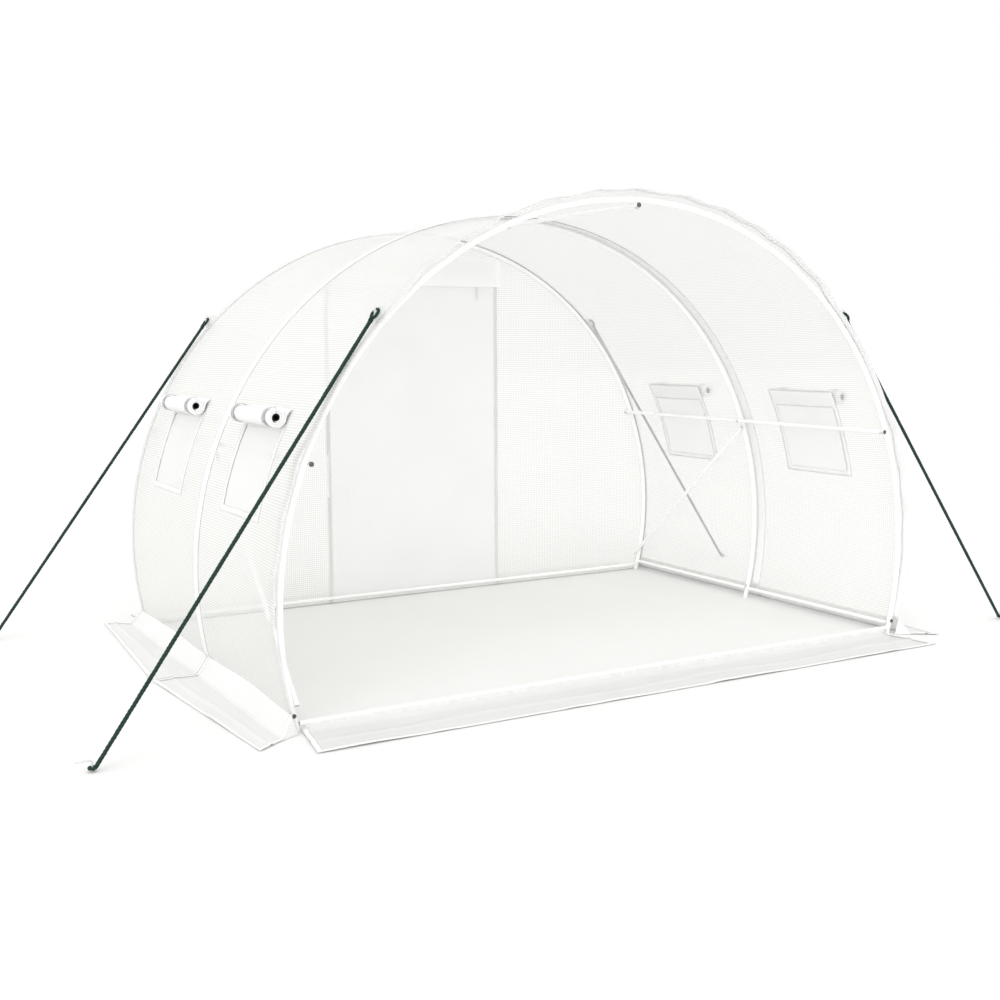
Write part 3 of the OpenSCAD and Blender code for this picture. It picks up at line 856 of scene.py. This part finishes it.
# %% Frame finishes
def coat_finish():
    """White powder coat, with the fine orange-peel of a baked coat and a tone that is a little darker towards the
    ground.
    """
    made, tree, shader = shader_nodes("white_powder_coat")
    height = node(tree, "SeparateXYZ", {0: node(tree, "TexCoord").outputs["Object"]}).outputs["Z"]
    tone_by_height = node(tree, "MapRange", {"Value": height, "From Min": 0.0, "From Max": 0.25,
                                   "To Min": 0.0, "To Max": 0.55}).outputs[0]
    tone = node(tree, "Math", {0: cloudy(tree, 14.0), 1: 0.5, 2: tone_by_height}, operation="MULTIPLY_ADD").outputs[0]
    colour = ramp(tree, tone, (0.2, (0.925, 0.925, 0.91)), (0.75, (0.97, 0.97, 0.97)))
    tree.links.new(colour, shader.inputs["Base Color"])
    peel = cloudy(tree, 420.0, 2.0)
    bump = node(tree, "Bump", {"Height": peel, "Strength": 0.12, "Distance": 0.0006}).outputs["Normal"]
    tree.links.new(bump, shader.inputs["Normal"])
    tree.links.new(ramp(tree, peel, (0.3, (0.30,) * 3), (0.7, (0.42,) * 3)), shader.inputs["Roughness"])
    shader.inputs["Coat Weight"].default_value = 0.6
    shader.inputs["Coat Roughness"].default_value = 0.25
    return made


powder_coat = coat_finish()
peg_steel = plain_finish("galvanised_wire", (0.66, 0.67, 0.68), (0.80, 0.81, 0.82), 220.0, 0.42, 500.0, 0.2, 0.0006,
                         Metallic=0.5)
tab_webbing = plain_finish("white_webbing", (0.70, 0.71, 0.70), (0.82, 0.83, 0.82), 80.0, 0.75, 1300.0, 0.4, 0.0006)
bar_black = plain_finish("black_roll_bar", (0.012, 0.012, 0.013), (0.024, 0.025, 0.027), 60.0, 0.5, 300.0, 0.15)
edge_tape = plain_finish("flap_edge_tape", (0.76, 0.765, 0.75), (0.83, 0.835, 0.82), 40.0, 0.7, 900.0, 0.3, 0.0005)
zip_tape = plain_finish("zip_tape", (0.80, 0.805, 0.80), (0.90, 0.905, 0.90), 60.0, 0.7, 1400.0, 0.35, 0.0005)
tube_nodes = ("front_hoop", "middle_hoop", "back_hoop", "ridge_purlin", "left_purlin", "right_purlin",
              "front_base_rail", "back_base_rail", "left_base_rails", "right_base_rails", "left_brace", "right_brace")
finishes = {name: powder_coat for name in tube_nodes}
finishes.update({"ground_pegs": peg_steel, "rope_tabs": tab_webbing, "left_roll_bars": bar_black,
                 "right_roll_bars": bar_black, "door_zips": zip_tape, "front_flap_edge": edge_tape})
for name, finish in finishes.items():
    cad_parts[name].data.materials.clear()
    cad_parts[name].data.materials.append(finish)
print("dressed", len(finishes), "CAD nodes")

# %% [markdown]
# ## Bolts and plugs
# Where tubes cross they are bolted, and the purlins' open ends are closed by dark plugs. These are the dark dots that
# make a tube frame look assembled, so each bolt has a six-sided head and a washer.

# %% Bolts and plugs
plug_dark = plain_finish("dark_plug", (0.07, 0.07, 0.072), (0.13, 0.13, 0.135), 300.0, 0.45, 600.0, 0.2, 0.0005)
bolt_zinc = plain_finish("bright_zinc", (0.62, 0.63, 0.64), (0.75, 0.76, 0.77), 300.0, 0.40, 600.0, 0.2, 0.0005,
                         Metallic=0.6)
washer_r, washer_t, head_r, head_t = 0.0085, 0.0015, 0.0065, 0.005
purlin_r, plug_r, plug_l, foot_bolt_z = 0.0096, 0.0097, 0.004, 0.06
bolts, plugs = Heap(), Heap()


def disc(heap, base, axis, radius, height, sides, dome=0.85):
    """Short prism with a drawn-in top: a washer, a bolt head or a plug."""
    axis = axis.normalized()
    u = axis.orthogonal().normalized()
    v = axis.cross(u)
    rim = [(math.cos(2 * math.pi * k / sides), math.sin(2 * math.pi * k / sides)) for k in range(sides)]
    rings = ((radius, 0), (radius, height * 0.8), (radius * dome, height))
    points = [base + r * (c * u + s * v) + axis * h for r, h in rings for c, s in rim]
    faces = [(a + k, a + (k + 1) % sides, a + sides + (k + 1) % sides, a + sides + k)
             for a in (0, sides) for k in range(sides)]
    heap.add(points, faces + [tuple(range(2 * sides, 3 * sides))])


def bolt(heap, base, axis):
    """Washer with a six-sided head on it."""
    disc(heap, base, axis, washer_r, washer_t, 20, 0.95)
    disc(heap, base + axis.normalized() * washer_t, axis, head_r, head_t, 6)


for name in ("ridge_purlin", "left_purlin", "right_purlin"):
    low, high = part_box(name)
    centre = Vector(((low[0] + high[0]) / 2, 0, (low[2] + high[2]) / 2))
    inward = (Vector((0, 0, arc_z)) - centre).normalized()
    for y in (-bay, 0, bay):
        bolt(bolts, centre + Vector((0, y, 0)) + inward * purlin_r, inward)
    for y, way in ((low[1], -1), (high[1], 1)):
        disc(plugs, centre + Vector((0, y, 0)), Vector((0, way, 0)), plug_r, plug_l, 24, 0.8)
for y in (-bay, 0, bay):
    for side in (-1, 1):
        s = side * down_to(foot_bolt_z)
        foot = arch(arc_r, s, y)
        if y:
            bolt(plugs, foot + Vector((0, math.copysign(hoop_tube / 2, y), 0)), Vector((0, y, 0)))
        else:
            bolt(bolts, foot - outward(s) * hoop_tube / 2, -outward(s))
bolts.piece("bolts", bolt_zinc, "tube", smooth=False)
plugs.piece("plugs_and_foot_bolts", plug_dark, "tube", smooth=False)
print("bolts and plugs", len(bolts.faces) + len(plugs.faces), "faces")

# %% [markdown]
# ## Floor and light
# This is a pale product picture on white. The floor is white and keeps a soft shadow, and inside the tunnel it is
# painted a little darker, which is painted shade under the cover. The world is a soft gradient, brightest in front, and
# a broad lamp from the front left reaches the tubes through the open end, so that they stand out white against the
# film.
# The camera, and what is mirrored or seen through something, gets plain white instead of the gradient.

# %% Floor and light
def floor_part(name, dark, light, points, faces):
    """Part of the studio floor, which is not attached to the tunnel's body."""
    mesh = bpy.data.meshes.new(name)
    mesh.from_pydata([(x, y, -0.0005) for x, y in points], [], faces)
    part = bpy.data.objects.new(name, mesh)
    scene.collection.objects.link(part)
    made, tree, shader = shader_nodes(name)
    tree.links.new(ramp(tree, cloudy(tree, 1.2), (0.3, dark), (0.7, light)), shader.inputs["Base Color"])
    shader.inputs["Roughness"].default_value = 0.9
    shader.inputs["Specular IOR Level"].default_value = 0.1
    mesh.materials.append(made)


corners = [(-1, -1), (1, -1), (1, 1), (-1, 1)]
inside_x, inside_y, floor_reach = 1.48, 1.01, 40
inside = [(inside_x * x, inside_y * y) for x, y in corners]
outside = [(floor_reach * x, floor_reach * y) for x, y in corners]
# The floor inside the tunnel is painted darker than the floor around it: painted shade under the cover.
floor_part("shaded_floor_inside", (0.820, 0.823, 0.807), (0.840, 0.843, 0.827), inside, [(0, 1, 2, 3)])
floor_part("floor_around", (0.840, 0.840, 0.835), (0.855, 0.855, 0.850), inside + outside,
           [(4 + k, 4 + (k + 1) % 4, (k + 1) % 4, k) for k in range(4)])

world = bpy.data.worlds.new("studio")
scene.world = world
world.use_nodes = True
tree = world.node_tree
even = tree.nodes["Background"]
even.inputs["Color"].default_value = (1, 1, 1, 1)
way = node(tree, "TexCoord").outputs["Generated"]
brightest = Vector((0.15, -0.76, 0.63)).normalized()
facing = node(tree, "VectorMath", {0: way, 1: brightest}, operation="DOT_PRODUCT").outputs["Value"]
level = node(tree, "MapRange", {"Value": facing, "From Min": -1.0, "From Max": 1.0,
                                "To Min": 0.80, "To Max": 1.06}).outputs[0]
tree.links.new(level, even.inputs["Strength"])
seen_white = node(tree, "Background", {"Color": (1, 1, 1, 1), "Strength": 1.0}).outputs[0]
ray = node(tree, "LightPath").outputs
mirrored = node(tree, "Math", {0: ray["Is Glossy Ray"], 1: ray["Is Transmission Ray"]}, operation="MAXIMUM").outputs[0]
plain = node(tree, "Math", {0: ray["Is Camera Ray"], 1: mirrored}, operation="MAXIMUM").outputs[0]
both = node(tree, "MixShader", {0: plain, 1: even.outputs[0], 2: seen_white}).outputs[0]
tree.links.new(both, tree.nodes["World Output"].inputs["Surface"])

lamp_spread = math.radians(60)
for name, energy, aim in (("top_lamp", 0.42, (0.10, 0.10, -0.99)), ("front_lamp", 1.12, (0.62, 0.71, -0.34))):
    lamp = bpy.data.objects.new(name, bpy.data.lights.new(name, "SUN"))
    lamp.data.energy, lamp.data.angle = energy, lamp_spread
    lamp.rotation_euler = Vector(aim).to_track_quat("-Z", "Y").to_euler()
    scene.collection.objects.link(lamp)
print("floor, world and lamps ready")
